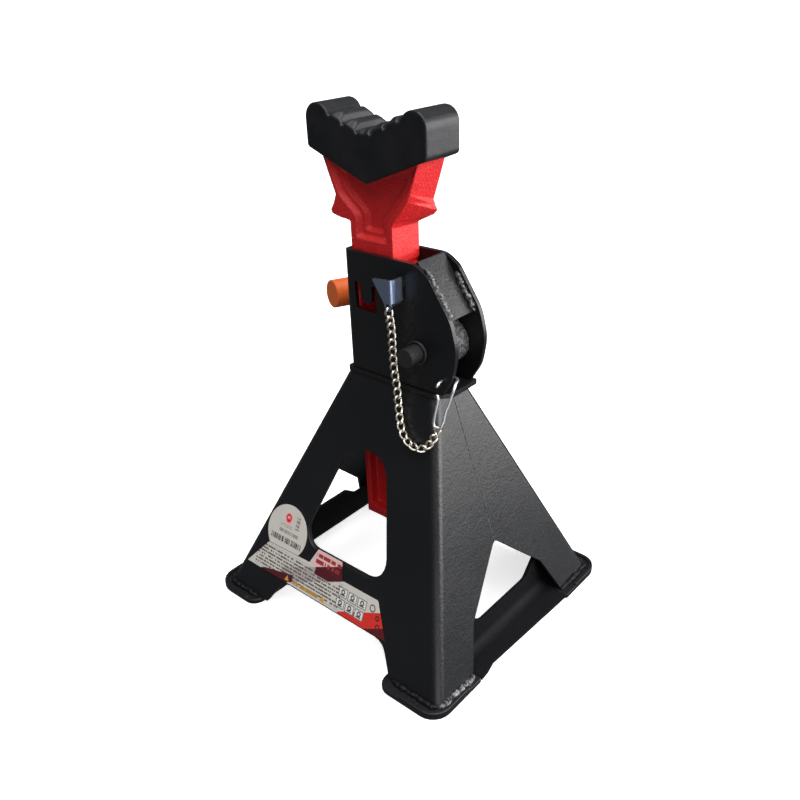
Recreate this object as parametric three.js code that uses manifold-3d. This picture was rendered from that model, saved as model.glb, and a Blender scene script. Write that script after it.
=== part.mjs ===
// Ratchet axle jack stand with a rubber saddle pad, a locking pin and its keeper chain.
// Millimetres, +Z up, feet on z = 0, saddle long direction along X, label face towards -Y.
import * as THREE from 'three';
import { mergeVertices } from 'three/addons/utils/BufferGeometryUtils.js';
import Module from 'manifold-3d';

const wasm = await Module();
wasm.setup();

const CLEAR = 0.3;           // gap left between two pieces that touch on the real stand
const SHEET = 3.0;           // steel sheet of base, housing and cover

// ---- base: two folded shells forming a four-legged pyramid ----
const LEG_BOTTOM = 3.8;
const BASE_TOP = 165;
const FLOOR_HALF_X = 98.5;
const FLOOR_HALF_Y = 88.5;
const TOP_LEFT = -32;
const TOP_RIGHT = 41.5;
const TOP_HALF_Y = 16;
const BEND_R = 6;
const FACE_TILT = Math.atan2(FLOOR_HALF_Y - TOP_HALF_Y, BASE_TOP);
const WINDOW = [[-39, 52.2, 12], [39, 52.2, 12], [15.8, 123, 17], [-15.8, 123, 17]];
const RAIL_CUT = [[-59.5, 0, 0], [59.5, 0, 0], [46, 21.7, 12], [-46, 21.7, 12]];
const SIDE_WINDOW = [[-54, 0, 0], [54, 0, 0], [38.5, 32, 6], [0, 67.5, 4], [-38.5, 32, 6]];

// ---- feet and straps ----
const FOOT = { y0: 49.5, thick: 3.5, lip: 1.6, lipWidth: 2.4 };
const FEET = [
  { name: 'foot_plate_front_left', sx: -1, sy: -1, x0: 62.5, x1: 103.5, y1: 93.8 },
  { name: 'foot_plate_front_right', sx: 1, sy: -1, x0: 53.5, x1: 101.6, y1: 94.8 },
  { name: 'foot_plate_rear_left', sx: -1, sy: 1, x0: 62.5, x1: 103.5, y1: 94.8 },
  { name: 'foot_plate_rear_right', sx: 1, sy: 1, x0: 67, x1: 103.5, y1: 94.8 },
];
const STRAP = { web: 82.6, halfLength: 59, bottom: 0.8, thick: 2.6 };
// Outer edge of the strap's flange, from the front foot to the rear foot.
const FLANGE = [[101.6, -50], [100.9, -42], [98.9, -33], [102.4, 44], [102.7, 50]];

// ---- neck: collar, U-shaped housing and cover ----
const COLLAR_Z = BASE_TOP + CLEAR;
const COLLAR_THICK = 3;
const HOUSING_BOTTOM = COLLAR_Z + COLLAR_THICK + CLEAR;
const HOUSING_TOP = 246.3;
const PLATE_OUT = 15.6;
const PLATE_IN = PLATE_OUT - SHEET;
const WALL_X = -29;
const PIVOT = { x: 29, z: 193.2 };
const LOCK = { x: 12, z: 229 };
const HOOK_HOLE = { x: 46.3, z: 178.6, r: 2.1 };
const LEVER_R = 5.8;
const COVER = { top: [27, 247.3], bottom: [48.6, 214.5] };

// ---- ratchet column ----
const COLUMN = { left: -25.2, root: 6.5, face: 8.3, tip: 14.5, halfY: 12.1, bottom: 55, neck: 263.5 };
const COLUMN_MID = (COLUMN.left + COLUMN.face) / 2;
const PITCH = 11.6;
const TOOTH = { rise: 5.2, land: 1.4, back: 1.2, first: 229.86, count: 15 };
const PAD = { halfX: 45.4, halfY: 14.8, vee: 286.7, slope: 0.385, skirt: 8, lobeR: 8.9, lobeTop: 329.4 };

// ---------------------------------------------------------------- helpers
const vec2 = (x, y) => new THREE.Vector2(x, y);
const vec3 = (x, y, z) => new THREE.Vector3(x, y, z);

// Outline from corners [x, y, radius]; a radius rounds the corner with short straight steps.
function outline(corners, stepAngle = 0.28) {
  const points = [];
  corners.forEach(([x, y, r = 0], i) => {
    const here = vec2(x, y);
    if (!r) {
      points.push(here);
      return;
    }
    const [px, py] = corners[(i + corners.length - 1) % corners.length];
    const [nx, ny] = corners[(i + 1) % corners.length];
    const back = vec2(px, py).sub(here).normalize();
    const ahead = vec2(nx, ny).sub(here).normalize();
    const half = Math.acos(THREE.MathUtils.clamp(back.dot(ahead), -1, 1)) / 2;
    const reach = r / Math.tan(half);
    const middle = back.clone().add(ahead).normalize();
    const centre = here.clone().addScaledVector(middle, r / Math.sin(half));
    const from = here.clone().addScaledVector(back, reach).sub(centre);
    const to = here.clone().addScaledVector(ahead, reach).sub(centre);
    const turn = Math.atan2(from.x * to.y - from.y * to.x, from.dot(to));
    const steps = Math.max(2, Math.ceil(Math.abs(turn) / stepAngle));
    for (let k = 0; k <= steps; k += 1) {
      points.push(from.clone().rotateAround(vec2(0, 0), (turn * k) / steps).add(centre));
    }
  });
  return points;
}

function circle(x, y, r, sides = 24) {
  return Array.from({ length: sides }, (_, i) => {
    const a = (2 * Math.PI * i) / sides;
    return vec2(x + r * Math.cos(a), y + r * Math.sin(a));
  });
}

function prism(points, depth) {
  return new THREE.ExtrudeGeometry(new THREE.Shape(points), { depth, bevelEnabled: false });
}

const prismZ = (points, z0, z1) => prism(points, z1 - z0).translate(0, 0, z0);
const prismY = (points, y0, y1) => prism(points, y1 - y0).rotateX(Math.PI / 2).translate(0, y1, 0);

// Prism along Y whose outline changes evenly from near at y0 to far at y1, corner by corner.
function taperY(near, far, y0, y1) {
  const shape = prismY(near, y0, y1);
  const place = shape.attributes.position;
  for (let i = 0; i < place.count; i += 1) {
    if (place.getY(i) > (y0 + y1) / 2) {
      const here = vec2(place.getX(i), place.getZ(i));
      const corner = near.findIndex((p) => p.distanceTo(here) < 1e-3);
      place.setX(i, far[corner].x);
      place.setZ(i, far[corner].y);
    }
  }
  return shape;
}

// The same corners, anticlockwise, with every side moved inwards and each radius kept.
function inset(corners, distance) {
  const spot = (i) => vec2(...corners[(i + corners.length) % corners.length]);
  return corners.map(([, , r], i) => {
    const before = spot(i).sub(spot(i - 1)).normalize();
    const after = spot(i + 1).sub(spot(i)).normalize();
    const mitre = vec2(-before.y - after.y, before.x + after.x).normalize();
    const shift = distance / (mitre.y * after.x - mitre.x * after.y);
    const moved = spot(i).addScaledVector(mitre, shift);
    return [moved.x, moved.y, r];
  });
}

function prismX(points, x0, x1) {
  const turn = new THREE.Matrix4().makeBasis(vec3(0, 1, 0), vec3(0, 0, 1), vec3(1, 0, 0));
  return prism(points, x1 - x0).applyMatrix4(turn).translate(x0, 0, 0);
}

function rod(radius, from, to, sides = 24) {
  const along = to.clone().sub(from);
  const shape = new THREE.CylinderGeometry(radius, radius, along.length(), sides);
  const turn = new THREE.Quaternion().setFromUnitVectors(vec3(0, 1, 0), along.clone().normalize());
  shape.applyQuaternion(turn);
  const middle = from.clone().add(to).multiplyScalar(0.5);
  return shape.translate(middle.x, middle.y, middle.z);
}

// Round bar swept along a path; the steps are spread evenly over its length.
function bar(path, radius, steps, sides) {
  return new THREE.ExtrudeGeometry(new THREE.Shape(circle(0, 0, radius, sides)), {
    steps,
    bevelEnabled: false,
    extrudePath: path,
  });
}

function box(x0, x1, y0, y1, z0, z1) {
  const shape = new THREE.BoxGeometry(x1 - x0, y1 - y0, z1 - z0);
  return shape.translate((x0 + x1) / 2, (y0 + y1) / 2, (z0 + z1) / 2);
}

function solid(geometry) {
  const bare = geometry.clone();
  bare.deleteAttribute('normal');
  bare.deleteAttribute('uv');
  const merged = mergeVertices(bare, 1e-4);
  return new wasm.Manifold(new wasm.Mesh({
    numProp: 3,
    vertProperties: new Float32Array(merged.attributes.position.array),
    triVerts: new Uint32Array(merged.index.array),
  }));
}

function toGeometry(body) {
  const mesh = body.getMesh();
  const geometry = new THREE.BufferGeometry();
  geometry.setAttribute('position', new THREE.BufferAttribute(mesh.vertProperties, 3));
  geometry.setIndex(new THREE.BufferAttribute(mesh.triVerts, 1));
  geometry.computeVertexNormals();
  return geometry;
}

const cut = (body, ...tools) => tools.reduce((left, tool) => left.subtract(solid(tool)), body);

const stand = new THREE.Group();
stand.name = 'axle_jack_stand';

const PAINT_BLACK = { color: 0x1d1e20, roughness: 0.45, metalness: 0.1 };
const PAINT_RED = { color: 0xd8262b, roughness: 0.5, metalness: 0.1 };
const RUBBER = { color: 0x232427, roughness: 0.7, metalness: 0 };
const ORANGE = { color: 0xe8702f, roughness: 0.55, metalness: 0 };
const ZINC = { color: 0xc9c8c2, roughness: 0.3, metalness: 0.9 };
const CAST = { color: 0x2a2b2d, roughness: 0.6, metalness: 0.5 };
const LABEL = { color: 0xe9e6e0, roughness: 0.4, metalness: 0 };

function add(name, body, look) {
  const geometry = body instanceof THREE.BufferGeometry ? body : toGeometry(body);
  const mesh = new THREE.Mesh(geometry, new THREE.MeshStandardMaterial(look));
  mesh.name = name;
  stand.add(mesh);
}

// ---------------------------------------------------------------- base shells
const floorToTop = (z, floor, top) => floor + ((top - floor) * z) / BASE_TOP;

// Tapered block with a constant corner radius: the four corner centres slide inwards with height.
function pyramid(inset, radius, z0, z1) {
  const left = (z) => floorToTop(z, -FLOOR_HALF_X, TOP_LEFT) + inset * 1.06 + radius;
  const right = (z) => floorToTop(z, FLOOR_HALF_X, TOP_RIGHT) - inset * 1.06 - radius;
  const front = (z) => floorToTop(z, FLOOR_HALF_Y, TOP_HALF_Y) - inset * 1.09 - radius;
  const corners = [
    [left(z0) - radius, -front(z0) - radius, radius],
    [right(z0) + radius, -front(z0) - radius, radius],
    [right(z0) + radius, front(z0) + radius, radius],
    [left(z0) - radius, front(z0) + radius, radius],
  ];
  const block = prismZ(outline(corners, 0.26), z0, z1);
  const place = block.attributes.position;
  for (let i = 0; i < place.count; i += 1) {
    if (place.getZ(i) > (z0 + z1) / 2) {
      const slideX = place.getX(i) > 0 ? right(z1) - right(z0) : left(z1) - left(z0);
      const slideY = Math.sign(place.getY(i)) * (front(z1) - front(z0));
      place.setX(i, place.getX(i) + slideX);
      place.setY(i, place.getY(i) + slideY);
    }
  }
  return block;
}

const pyramidShell = solid(pyramid(0, BEND_R, 0, BASE_TOP))
  .subtract(solid(pyramid(SHEET, BEND_R - SHEET, -2, BASE_TOP + 2)));
const legged = cut(
  pyramidShell,
  prismX(outline(SIDE_WINDOW), 55, 110),
  prismX(outline(SIDE_WINDOW), -110, -55),
  box(-120, 120, -120, 120, -1, LEG_BOTTOM),
);

for (const [name, side] of [['base_front_shell', -1], ['base_rear_shell', 1]]) {
  const half = side < 0 ? box(-120, 120, -120, -CLEAR / 2, -1, 170) : box(-120, 120, CLEAR / 2, 120, -1, 170);
  const [near, far] = side < 0 ? [-110, -20] : [20, 110];
  const shell = cut(
    legged.intersect(solid(half)),
    prismY(outline(WINDOW), near, far),
    prismY(outline(RAIL_CUT), near, far),
  );
  add(name, shell, PAINT_BLACK);
}

// ---------------------------------------------------------------- feet
function footOutline({ sx, sy, x0, x1, y1 }, inwards) {
  const reach = [
    [x0, FOOT.y0, 6],
    [x1 - inwards, FOOT.y0, 1.5],
    [x1 - inwards, y1 - inwards, 13 - inwards],
    [x0, y1 - inwards, 9],
  ];
  const placed = reach.map(([x, y, r]) => [sx * x, sy * y, r]);
  return outline(sx * sy > 0 ? placed : placed.reverse());
}

for (const foot of FEET) {
  const plate = solid(prismZ(footOutline(foot, 0), 0, FOOT.thick + FOOT.lip));
  const tray = prismZ(footOutline(foot, FOOT.lipWidth), FOOT.thick, FOOT.thick + 10);
  const inner = [
    box(-72, 72, -110, 110, FOOT.thick, 20),
    box(-110, 110, -62, 62, FOOT.thick, 20),
  ];
  add(foot.name, cut(plate, tray, ...inner), PAINT_BLACK);
}

// ---------------------------------------------------------------- side straps
// Each strap is an angle section. The left one is highest in its middle, the right one at its ends.
const STRAP_TOPS = {
  left: [
    [-21, 31, 5], [21, 31, 5], [31, 24, 5], [60, 24, 0],
    [60, -3, 0], [-60, -3, 0], [-60, 24, 0], [-31, 24, 5],
  ],
  right: [
    [-38, 33, 3], [-24, 21, 6], [27, 21, 6], [38, 33, 3],
    [60, 33, 0], [60, -3, 0], [-60, -3, 0], [-60, 33, 0],
  ],
};
for (const [hand, side, legTop] of [['left', -1, -TOP_LEFT], ['right', 1, TOP_RIGHT]]) {
  const highest = STRAP_TOPS[hand][0][1];
  const legInside = floorToTop(highest, FLOOR_HALF_X, legTop) - SHEET * 1.06 - CLEAR;
  const web = Math.min(STRAP.web, legInside);
  const section = outline([
    [side * (web - STRAP.thick), STRAP.bottom, 9],
    [side * 110, STRAP.bottom, 0],
    [side * 110, STRAP.bottom + STRAP.thick, 0],
    [side * web, STRAP.bottom + STRAP.thick, 6.4],
    [side * web, 40, 0],
    [side * (web - STRAP.thick), 40, 0],
  ]);
  const profile = prismX(outline(STRAP_TOPS[hand]), side > 0 ? 60 : -120, side > 0 ? 120 : -60);
  const strap = solid(prismY(section, -STRAP.halfLength, STRAP.halfLength)).intersect(solid(profile));
  const outside = [...FLANGE, [120, 50], [120, -50]].map(([x, y]) => vec2(side * x, y));
  const [x0, x1] = side > 0 ? [88, 120] : [-120, -88];
  const ends = [
    box(x0, x1, -80, -49.2, -1, 20),
    box(x0, x1, 49.2, 80, -1, 20),
    box(-120, 120, -80, -49.2, -1, LEG_BOTTOM + 0.2),
    box(-120, 120, 49.2, 80, -1, LEG_BOTTOM + 0.2),
  ];
  add(`side_strap_${hand}`, cut(strap, prismZ(outside, -1, 20), ...ends), PAINT_BLACK);
}

// ---------------------------------------------------------------- neck collar
const collar = solid(prismZ(outline([
  [-31, -16.8, 3], [40.5, -16.8, 2], [48.7, -8.8, 2], [48.7, 16.8, 1.5], [-31, 16.8, 3],
]), COLLAR_Z, COLLAR_Z + COLLAR_THICK));
add('neck_collar', cut(collar, box(-26.4, 17.5, -12.8, 12.8, 160, 175)), PAINT_BLACK);

// ---------------------------------------------------------------- neck housing
const channel = solid(prismZ(outline([
  [62, -PLATE_OUT, 0], [62, -PLATE_IN, 0], [WALL_X + SHEET, -PLATE_IN, 1], [WALL_X + SHEET, PLATE_IN, 1],
  [62, PLATE_IN, 0], [62, PLATE_OUT, 0], [WALL_X, PLATE_OUT, 4], [WALL_X, -PLATE_OUT, 4],
]), HOUSING_BOTTOM, HOUSING_TOP + 1));
const earOutline = outline([
  [WALL_X - 1, HOUSING_BOTTOM - 1, 0], [45.4, HOUSING_BOTTOM - 1, 0], [53.6, 181, 25], [57, 199, 30],
  [52.6, 216.5, 30], [36.6, 240.4, 12], [27.5, HOUSING_TOP, 16], [WALL_X - 1, HOUSING_TOP, 0],
], 0.09);
const tongueSlot = outline([
  [-21.2, 227.4, 2.1], [-20.6, 209.4, 1.6], [-3.8, 209.4, 1.4], [-3, 226.5, 1], [-7.2, 226.5, 1],
  [-7.2, 214.4, 4.2], [-16, 214.4, 4.2], [-16.2, 227.4, 2.1],
]);
const hole = (x, z, r, sides = 24, y0 = -20, y1 = 20) => prismY(circle(x, z, r, sides), y0, y1);
const dimple = (side) => {
  const ring = new THREE.CylinderGeometry(8.4, 10.6, 1.0, 32);
  if (side < 0) {
    ring.rotateX(Math.PI);
  }
  return ring.translate(PIVOT.x, side * (PLATE_OUT + 0.4), PIVOT.z);
};
let housing = channel.intersect(solid(prismY(earOutline, -20, 20)));
housing = housing.add(solid(dimple(-1))).add(solid(dimple(1)));
add('neck_housing', cut(
  housing,
  hole(PIVOT.x, PIVOT.z, LEVER_R + 0.4),
  hole(LOCK.x, LOCK.z, 3.7, 20),
  hole(HOOK_HOLE.x, HOOK_HOLE.z, HOOK_HOLE.r, 14, -20, 0),
  prismY(tongueSlot, -20, 20),
), PAINT_BLACK);

// ---------------------------------------------------------------- cover plate and its welds
const coverTop = vec2(...COVER.top);
const coverBottom = vec2(...COVER.bottom);
const coverRun = coverBottom.clone().sub(coverTop).normalize();
const coverOut = vec2(-coverRun.y, coverRun.x);
const coverPoint = (t, lift) => coverTop.clone().lerp(coverBottom, t).addScaledVector(coverOut, lift);
add('cover_plate', prismY(
  [coverPoint(0, 0), coverPoint(0, -SHEET), coverPoint(1, -SHEET), coverPoint(1, 0)],
  -PLATE_IN + CLEAR,
  PLATE_IN - CLEAR,
), PAINT_BLACK);
for (const [name, side] of [['cover_weld_front', -1], ['cover_weld_rear', 1]]) {
  const radius = 1.5;
  const y = side * (PLATE_IN - radius - CLEAR);
  const ends = [0.24, 0.96].map((t) => {
    const p = coverPoint(t, radius + CLEAR);
    return vec3(p.x, y, p.y);
  });
  add(name, rod(radius, ends[0], ends[1], 12), PAINT_BLACK);
}

// ---------------------------------------------------------------- ratchet column
const toothedSide = [[COLUMN.left, COLUMN.bottom], [COLUMN.root, COLUMN.bottom]];
for (let i = TOOTH.count - 1; i >= 0; i -= 1) {
  const z = TOOTH.first - i * PITCH;
  toothedSide.push([COLUMN.root, z]);
  toothedSide.push([COLUMN.tip, z + TOOTH.rise]);
  toothedSide.push([COLUMN.tip, z + TOOTH.rise + TOOTH.land]);
  toothedSide.push([COLUMN.root, z + TOOTH.rise + TOOTH.land + TOOTH.back]);
}
const shaft = solid(prismY(outline([
  ...toothedSide, [COLUMN.root, 238.5], [COLUMN.face, 241], [COLUMN.face, 266], [COLUMN.left, 266],
]), -COLUMN.halfY, COLUMN.halfY));

// Half outlines of the saddle arms, as [distance from the middle, height] going up. Two opposite
// corners of the casting carry a stop shoulder, the other two run straight up into the arm.
const SHOULDER_LEFT = [
  [16.75, 263.2], [24.4, 263.9], [31.1, 265.4], [32.4, 267.8], [29.4, 272.4], [27.4, 277.6], [31, 286.4],
  [36.2, 299.5], [39.5, 308.8],
];
const SHOULDER_RIGHT = [
  [16.75, 262.4], [22.6, 265.1], [29, 268.2], [31.4, 271], [30, 273.6], [28.6, 276.8], [31.6, 285.2],
  [36.6, 299.5], [39.5, 308.8],
];
const STRAIGHT = [
  [16.75, 263.8], [18.2, 266.6], [21.1, 270.2], [25.2, 275.6], [28.6, 280], [31, 284.4], [33.9, 291.8],
  [37, 301], [38.6, 308.8],
];

// One side of the head: a stack of slices, each spanning from the middle out to both face outlines.
function headSide(side, near, far) {
  const corner = ([out, z], y) => [[COLUMN_MID + side * out, y, z], [COLUMN_MID, y, z]];
  return near.slice(1).map((_, k) => wasm.Manifold.hull([
    ...corner(near[k], -COLUMN.halfY), ...corner(near[k + 1], -COLUMN.halfY),
    ...corner(far[k], COLUMN.halfY), ...corner(far[k + 1], COLUMN.halfY),
  ]));
}
const saddleVee = outline([
  [COLUMN_MID, PAD.vee + PAD.skirt - CLEAR], [COLUMN_MID + 50, 312.5], [COLUMN_MID + 50, 330],
  [COLUMN_MID - 50, 330], [COLUMN_MID - 50, 312.5],
]);
const recess = (points, depth) => [
  prismY(outline(points), -COLUMN.halfY - 1, -COLUMN.halfY + depth),
  prismY(outline(points), COLUMN.halfY - depth, COLUMN.halfY + 1),
];
const shaftRecess = [[COLUMN.left + 4.2, 61, 3], [2.5, 61, 3], [2.5, 243, 3], [COLUMN.left + 4.2, 243, 3]];

// The pocket in each face of the head has sloping walls and a second, deeper step.
const pocketRim = [
  [-21.4, 253.4, 2], [4.6, 253.4, 2], [4, 264, 4], [20.6, 284.4, 8], [28.6, 301.5, 1], [COLUMN_MID, 289, 2],
  [-42.6, 301.5, 1], [-33.4, 277.6, 8], [-19.6, 266.5, 5],
];
const outerFace = -COLUMN.halfY - 0.4;
const ledge = -COLUMN.halfY + 3.2;
const floorOfPocket = -COLUMN.halfY + 6;
const pocketPart = (outer, inner, y0, y1) => solid(
  taperY(outline(inset(pocketRim, outer)), outline(inset(pocketRim, inner)), y0, y1),
);
const pocket = pocketPart(-0.3, 2.2, outerFace, ledge).add(pocketPart(4.6, 6, ledge - 0.2, floorOfPocket));
const rearPocket = pocket.translate([-COLUMN_MID, 0, 0]).rotate([0, 0, 180]).translate([COLUMN_MID, 0, 0]);
const casting = [
  ...headSide(1, STRAIGHT, SHOULDER_RIGHT),
  ...headSide(-1, SHOULDER_LEFT, STRAIGHT),
].reduce((left, right) => left.add(right), shaft);
add('ratchet_column', cut(
  casting.subtract(pocket).subtract(rearPocket),
  prismY(saddleVee, -20, 20),
  ...recess(shaftRecess, 7),
), PAINT_RED);

// ---------------------------------------------------------------- rubber saddle pad
const veeAt = (x, lift) => PAD.vee + PAD.slope * Math.abs(x) + lift;
const GROOVE = 10.6;
const padTopHalf = [
  [PAD.halfX, veeAt(PAD.halfX, 0), 2.5],
  [PAD.halfX, PAD.lobeTop, PAD.lobeR - 0.1],
  [PAD.halfX - 2 * PAD.lobeR, PAD.lobeTop, PAD.lobeR - 0.1],
  [2.5 * GROOVE, 318.2, 1.2],
  [2.25 * GROOVE, 325.4, 2.2],
  [1.75 * GROOVE, 324.4, 2.2],
  [1.5 * GROOVE, 315.6, 1.2],
  [1.25 * GROOVE, 321.4, 2.2],
  [0.75 * GROOVE, 320.4, 2.2],
  [0.5 * GROOVE, 312.4, 1.2],
  [0.25 * GROOVE, 317.4, 1.5],
];
const padOutline = outline([
  [COLUMN_MID, PAD.vee, 5],
  ...padTopHalf.map(([x, z, r]) => [COLUMN_MID + x, z, r]),
  ...padTopHalf.map(([x, z, r]) => [COLUMN_MID - x, z, r]).reverse(),
], 0.35);
const socket = outline([
  [COLUMN_MID - 40.2, veeAt(40, -12)], [COLUMN_MID + 40.2, veeAt(40, -12)],
  [COLUMN_MID + 40.2, veeAt(40.2, PAD.skirt)], [COLUMN_MID, veeAt(0, PAD.skirt), 3],
  [COLUMN_MID - 40.2, veeAt(40.2, PAD.skirt)],
]);
const below = outline([[COLUMN_MID - 40.2, 270], [COLUMN_MID + 40.2, 270],
  [COLUMN_MID + 40.2, veeAt(40, -11)], [COLUMN_MID - 40.2, veeAt(40, -11)]]);
// The ribs fall away towards the front and rear faces.
const ribFall = (lift) => [
  [COLUMN_MID - 27, lift + 10.2], [COLUMN_MID, lift], [COLUMN_MID + 27, lift + 10.2],
  [COLUMN_MID + 27, 345], [COLUMN_MID - 27, 345],
].map(([x, z]) => vec2(x, z));
const ribEnd = solid(taperY(ribFall(313.4), ribFall(318.2), -PAD.halfY - 0.6, -8.5));
const ribEnds = ribEnd.add(ribEnd.mirror([0, 1, 0]));
add('saddle_pad', cut(
  solid(prismY(padOutline, -PAD.halfY, PAD.halfY)).subtract(ribEnds),
  prismY(socket, -COLUMN.halfY - CLEAR, COLUMN.halfY + CLEAR),
  prismY(below, -COLUMN.halfY - CLEAR, COLUMN.halfY + CLEAR),
), RUBBER);

// ---------------------------------------------------------------- pawl, roll pin and lever
const HUB = { x: 31, z: 193, r: 14.4 };
const hubAt = (degrees) => {
  const a = THREE.MathUtils.degToRad(degrees);
  return [HUB.x + HUB.r * Math.cos(a), HUB.z + HUB.r * Math.sin(a)];
};
const hubArc = Array.from({ length: 17 }, (_, i) => hubAt(180 + i * 15));
const pawlOutline = outline([
  ...hubArc,
  [24.5, 222.5, 3],
  [17.6, 224.6, 1.5],
  [8.3, 218.6, 0.8],
  [8.3, 215.9, 0.8],
  [15.4, 214.3, 0.6],
  [15.7, 204, 0],
]);
const pinTilt = THREE.MathUtils.degToRad(28);
const onRollPin = (s) => vec3(PIVOT.x + s * Math.cos(pinTilt), 0, PIVOT.z + s * Math.sin(pinTilt));
add('pawl', cut(
  solid(prismY(pawlOutline, -PLATE_IN + 0.5, PLATE_IN - 0.5)),
  prismY(circle(PIVOT.x, PIVOT.z, LEVER_R + CLEAR), -20, 20),
  rod(1.8, onRollPin(-20), onRollPin(20), 14),
  rod(2.2, onRollPin(12.9), onRollPin(20), 14),
), CAST);
add('pawl_roll_pin', rod(1.5, onRollPin(-9), onRollPin(12.4), 14), ZINC);

const LEVER_Y = 23;
const leverEnd = vec3(PIVOT.x, -28.8, PIVOT.z);
const leverElbow = vec3(PIVOT.x, LEVER_Y, PIVOT.z);
const gripElbow = vec3(-46.5, LEVER_Y, 206.5);
const gripTip = vec3(-55.6, -2.2, 207.6);
function bentPath(points, radius) {
  const path = new THREE.CurvePath();
  let start = points[0];
  for (let i = 1; i < points.length - 1; i += 1) {
    const before = points[i - 1].clone().sub(points[i]).normalize();
    const after = points[i + 1].clone().sub(points[i]).normalize();
    const half = before.angleTo(after) / 2;
    const reach = radius / Math.tan(half);
    const enter = points[i].clone().addScaledVector(before, reach);
    const leave = points[i].clone().addScaledVector(after, reach);
    path.add(new THREE.LineCurve3(start, enter));
    path.add(new THREE.QuadraticBezierCurve3(enter, points[i], leave));
    start = leave;
  }
  path.add(new THREE.LineCurve3(start, points[points.length - 1]));
  return path;
}
const gripRun = gripTip.clone().sub(gripElbow).normalize();
const rodTip = gripTip.clone().addScaledVector(gripRun, -3);
add('lever_rod', cut(
  solid(bar(bentPath([leverEnd, leverElbow, gripElbow, rodTip], 7.5), LEVER_R, 48, 20)),
  rod(1.8, onRollPin(-20), onRollPin(20), 14),
), CAST);
const gripBack = gripElbow.clone().addScaledVector(gripRun, 7.6);
const gripRadius = 9.3;
const boreBack = gripBack.clone().addScaledVector(gripRun, -2);
const boreTip = rodTip.clone().addScaledVector(gripRun, CLEAR);
add('lever_grip', cut(
  solid(rod(gripRadius, gripBack, gripTip, 28)),
  rod(LEVER_R + CLEAR, boreBack, boreTip),
), ORANGE);
const retainerY = -PLATE_OUT - 0.9 - CLEAR;
add('lever_retainer', cut(
  solid(rod(7.6, vec3(PIVOT.x, retainerY, PIVOT.z), vec3(PIVOT.x, retainerY - 1.8, PIVOT.z))),
  rod(LEVER_R + CLEAR, vec3(PIVOT.x, -30, PIVOT.z), vec3(PIVOT.x, -10, PIVOT.z)),
), CAST);

// ---------------------------------------------------------------- lock pin and its folded head
const LOCK_R = 3.25;
const HEAD_Y = -25.2;
const HEAD_THICK = 1.4;
add('lock_pin', rod(LOCK_R, vec3(LOCK.x, HEAD_Y + CLEAR, LOCK.z), vec3(LOCK.x, 20.5, LOCK.z), 20), ZINC);
const HEAD_BEND = 3;
const headSheet = outline([
  [0, HEAD_Y - HEAD_THICK, 0], [19, HEAD_Y - HEAD_THICK, HEAD_BEND],
  [19, -17, 0.5], [19 - HEAD_THICK, -17, 0.5],
  [19 - HEAD_THICK, HEAD_Y, HEAD_BEND - HEAD_THICK], [0, HEAD_Y, 0],
], 0.2);
const headFace = outline([
  [3.8, 236.9, 0.8], [12.5, 223.6, 0], [14, 218.8, 1], [16.9, 218.8, 1], [18, 223.8, 0], [22, 224.4, 0],
  [22, 238.2, 0],
]);
const HEAD_HOLE = { x: 15.5, z: 222 };
add('lock_pin_head', cut(
  solid(prismZ(headSheet, 215, 242)).intersect(solid(prismY(headFace, -30, -10))),
  hole(HEAD_HOLE.x, HEAD_HOLE.z, 1.5, 14, -40, -20),
), ZINC);

// ---------------------------------------------------------------- chain and wire snap hook
const CHAIN_R = 2.6;
const chainPoints = [
  [15.4, -25.6, 216.4], [14.5, -23.2, 205], [13.8, -22, 190], [14.6, -22, 178], [16.6, -22.6, 167.5],
  [19.6, -24.9, 155], [23.2, -27.9, 146.8], [28.3, -30.4, 141.2], [34.8, -31.6, 138.4],
  [41.9, -31.6, 138.5], [47.2, -29.8, 142.6], [50.3, -27.6, 149.6],
].map((p) => vec3(...p));
const chainPath = new THREE.CatmullRomCurve3(chainPoints, false, 'centripetal');
add('lock_pin_chain', bar(chainPath, CHAIN_R, 30, 10), ZINC);

const hookPoints = [
  [45.8, -20.6, 176], [46, -18.4, 178.2], [46.3, -14.1, 178.7], [47.2, -10.4, 179], [50.4, -8.8, 179.4],
  [54, -10.6, 179.8], [56.2, -15.4, 180], [57.4, -19, 177.4], [56.4, -22.3, 169], [55.3, -23.7, 164.5],
  [54.7, -25.4, 158.4], [53.4, -26.8, 154.2], [51.3, -27.1, 152.7], [49, -26.8, 153.2], [47.7, -26, 156],
  [47.6, -23.6, 162.5], [48, -21.9, 168.6], [47, -21.7, 172.6],
].map((p) => vec3(...p));
const hookPath = new THREE.CatmullRomCurve3(hookPoints, false, 'centripetal');
add('chain_snap_hook', bar(hookPath, 0.9, 56, 8), ZINC);

// ---------------------------------------------------------------- labels on the front face
// Thin sheets laid on the sloping front face; x across, s measured up the slope from the floor.
function onFrontFace(points, thick, lift) {
  const up = vec3(0, Math.sin(FACE_TILT), Math.cos(FACE_TILT));
  const out = vec3(0, -Math.cos(FACE_TILT), Math.sin(FACE_TILT));
  const frame = new THREE.Matrix4().makeBasis(vec3(1, 0, 0), up, out);
  frame.setPosition(vec3(0, -FLOOR_HALF_Y, 0).addScaledVector(out, lift));
  return prism(points, thick).applyMatrix4(frame);
}
const slope = (z) => z / Math.cos(FACE_TILT);
const banner = outline([
  [-83.5, slope(22.9)], [48, slope(22.9)], [35.6, slope(43)], [4.4, slope(42.8)], [0.8, slope(53.4)],
  [-21, slope(53.4)], [-26.4, slope(42.9)], [-67, slope(41.6)],
]);
const disc = circle(-52.2, slope(53.8), 18.8, 44);
add('banner_label', onFrontFace(banner, 0.3, CLEAR), LABEL);
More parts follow.
